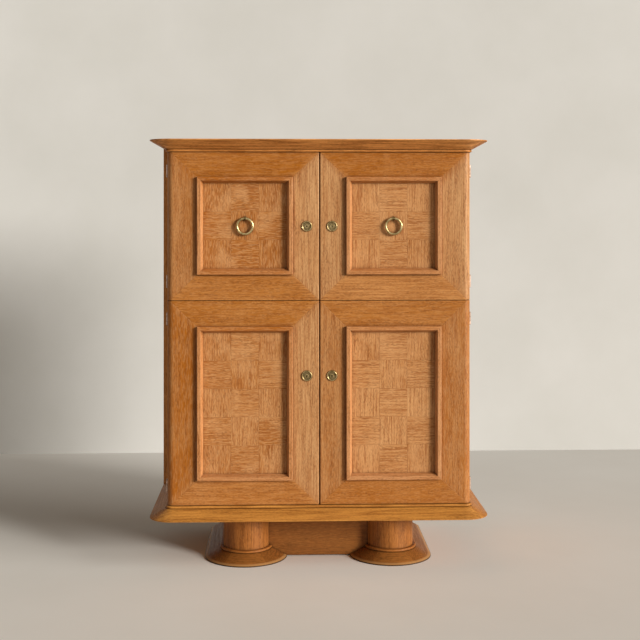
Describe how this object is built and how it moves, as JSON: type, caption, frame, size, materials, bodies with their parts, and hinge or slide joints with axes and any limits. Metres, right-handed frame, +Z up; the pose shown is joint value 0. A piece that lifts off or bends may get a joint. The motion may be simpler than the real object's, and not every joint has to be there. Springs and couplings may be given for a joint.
{
  "type": "bar cabinet",
  "caption": "Bar cabinet with framed parquet doors in an upper and a taller lower tier, ring pulls and brass escutcheons, a flared cornice and base slab, and round-fronted pedestal feet.",
  "frame": {"origin": "on the floor, under the middle of the cabinet's outline", "axes": "+X to the viewer's right as the doors are faced, +Y from the doors to the back, +Z up"},
  "size_m": [1.116, 0.525, 1.4],
  "materials": {
    "door_oak": "satin",
    "moulding_oak": "satin",
    "parquet_oak": "satin",
    "cornice_oak": "satin",
    "slab_oak": "satin",
    "pedestal_oak": "satin",
    "runner_oak": "satin",
    "carcass_oak": "satin",
    "plywood": "matte",
    "brass": "polished",
    "lock_steel": "brushed"
  },
  "bodies": {
    "cabinet": {"cornice": "cornice_oak", "cornice_bead": "cornice_oak", "top_board": "carcass_oak", "left_side": "carcass_oak", "right_side": "carcass_oak", "back_panel": "plywood", "left_rear_flare": "cornice_oak", "right_rear_flare": "cornice_oak", "divider_board": "carcass_oak", "bottom_board": "carcass_oak", "lower_shelf": "carcass_oak", "shelf_cleats": "carcass_oak", "base_bead": "slab_oak", "base_slab": "slab_oak", "plinth_board": "runner_oak", "left_pedestal": "pedestal_oak", "right_pedestal": "pedestal_oak", "pedestal_beads": "pedestal_oak", "left_runner": "runner_oak", "right_runner": "runner_oak", "carcass_hinge_leaves": "brass", "hinge_pins": "brass"},
    "upper_left_door": {"upper_left_stiles": "door_oak", "upper_left_rails": "door_oak", "upper_left_moulding": "moulding_oak", "upper_left_panel": "parquet_oak", "upper_left_escutcheon": "brass", "upper_left_hinge_leaves": "brass", "left_ring_post": "brass", "upper_strike_plate": "brass", "upper_bolt_plate": "brass"},
    "upper_right_door": {"upper_right_stiles": "door_oak", "upper_right_rails": "door_oak", "upper_right_moulding": "moulding_oak", "upper_right_panel": "parquet_oak", "upper_right_escutcheon": "brass", "upper_right_hinge_leaves": "brass", "right_ring_post": "brass", "upper_lock_case": "lock_steel"},
    "lower_left_door": {"lower_left_stiles": "door_oak", "lower_left_rails": "door_oak", "lower_left_moulding": "moulding_oak", "lower_left_panel": "parquet_oak", "lower_left_escutcheon": "brass", "lower_left_hinge_leaves": "brass", "lower_strike_plate": "brass", "lower_bolt_plate": "brass"},
    "lower_right_door": {"lower_right_stiles": "door_oak", "lower_right_rails": "door_oak", "lower_right_moulding": "moulding_oak", "lower_right_panel": "parquet_oak", "lower_right_escutcheon": "brass", "lower_right_hinge_leaves": "brass", "lower_lock_case": "lock_steel"},
    "left_ring": {"left_ring": "brass"},
    "right_ring": {"right_ring": "brass"},
    "upper_lock_bolt": {"upper_lock_bolt": "brass"},
    "upper_door_bolt": {"upper_door_bolt": "brass"},
    "lower_lock_bolt": {"lower_lock_bolt": "brass"},
    "lower_door_bolt": {"lower_door_bolt": "brass"}
  },
  "joints": [
    {"name": "upper_left_door_hinge", "type": "hinge", "parent": "cabinet", "child": "upper_left_door", "pos_m": [-0.5, -0.179, 1.11625], "axis": [0, 0, -1], "range_deg": [0, 170]},
    {"name": "upper_right_door_hinge", "type": "hinge", "parent": "cabinet", "child": "upper_right_door", "pos_m": [0.5, -0.179, 1.11625], "axis": [0, 0, 1], "range_deg": [0, 170]},
    {"name": "lower_left_door_hinge", "type": "hinge", "parent": "cabinet", "child": "lower_left_door", "pos_m": [-0.5, -0.179, 0.53575], "axis": [0, 0, -1], "range_deg": [0, 170]},
    {"name": "lower_right_door_hinge", "type": "hinge", "parent": "cabinet", "child": "lower_right_door", "pos_m": [0.5, -0.179, 0.53575], "axis": [0, 0, 1], "range_deg": [0, 170]},
    {"name": "left_ring_swing", "type": "hinge", "parent": "upper_left_door", "child": "left_ring", "pos_m": [-0.245, -0.2065, 1.142], "axis": [-1, 0, 0], "range_deg": [0, 95]},
    {"name": "right_ring_swing", "type": "hinge", "parent": "upper_right_door", "child": "right_ring", "pos_m": [0.245, -0.2065, 1.142], "axis": [-1, 0, 0], "range_deg": [0, 95]},
    {"name": "upper_lock_bolt_slide", "type": "slide", "parent": "upper_right_door", "child": "upper_lock_bolt", "axis": [-1, 0, 0], "range_m": [0, 0.008]},
    {"name": "lower_lock_bolt_slide", "type": "slide", "parent": "lower_right_door", "child": "lower_lock_bolt", "axis": [-1, 0, 0], "range_m": [0, 0.008]},
    {"name": "upper_door_bolt_slide", "type": "slide", "parent": "upper_left_door", "child": "upper_door_bolt", "axis": [0, 0, 1], "range_m": [0, 0.01]},
    {"name": "lower_door_bolt_slide", "type": "slide", "parent": "lower_left_door", "child": "lower_door_bolt", "axis": [0, 0, 1], "range_m": [0, 0.01]}
  ]
}
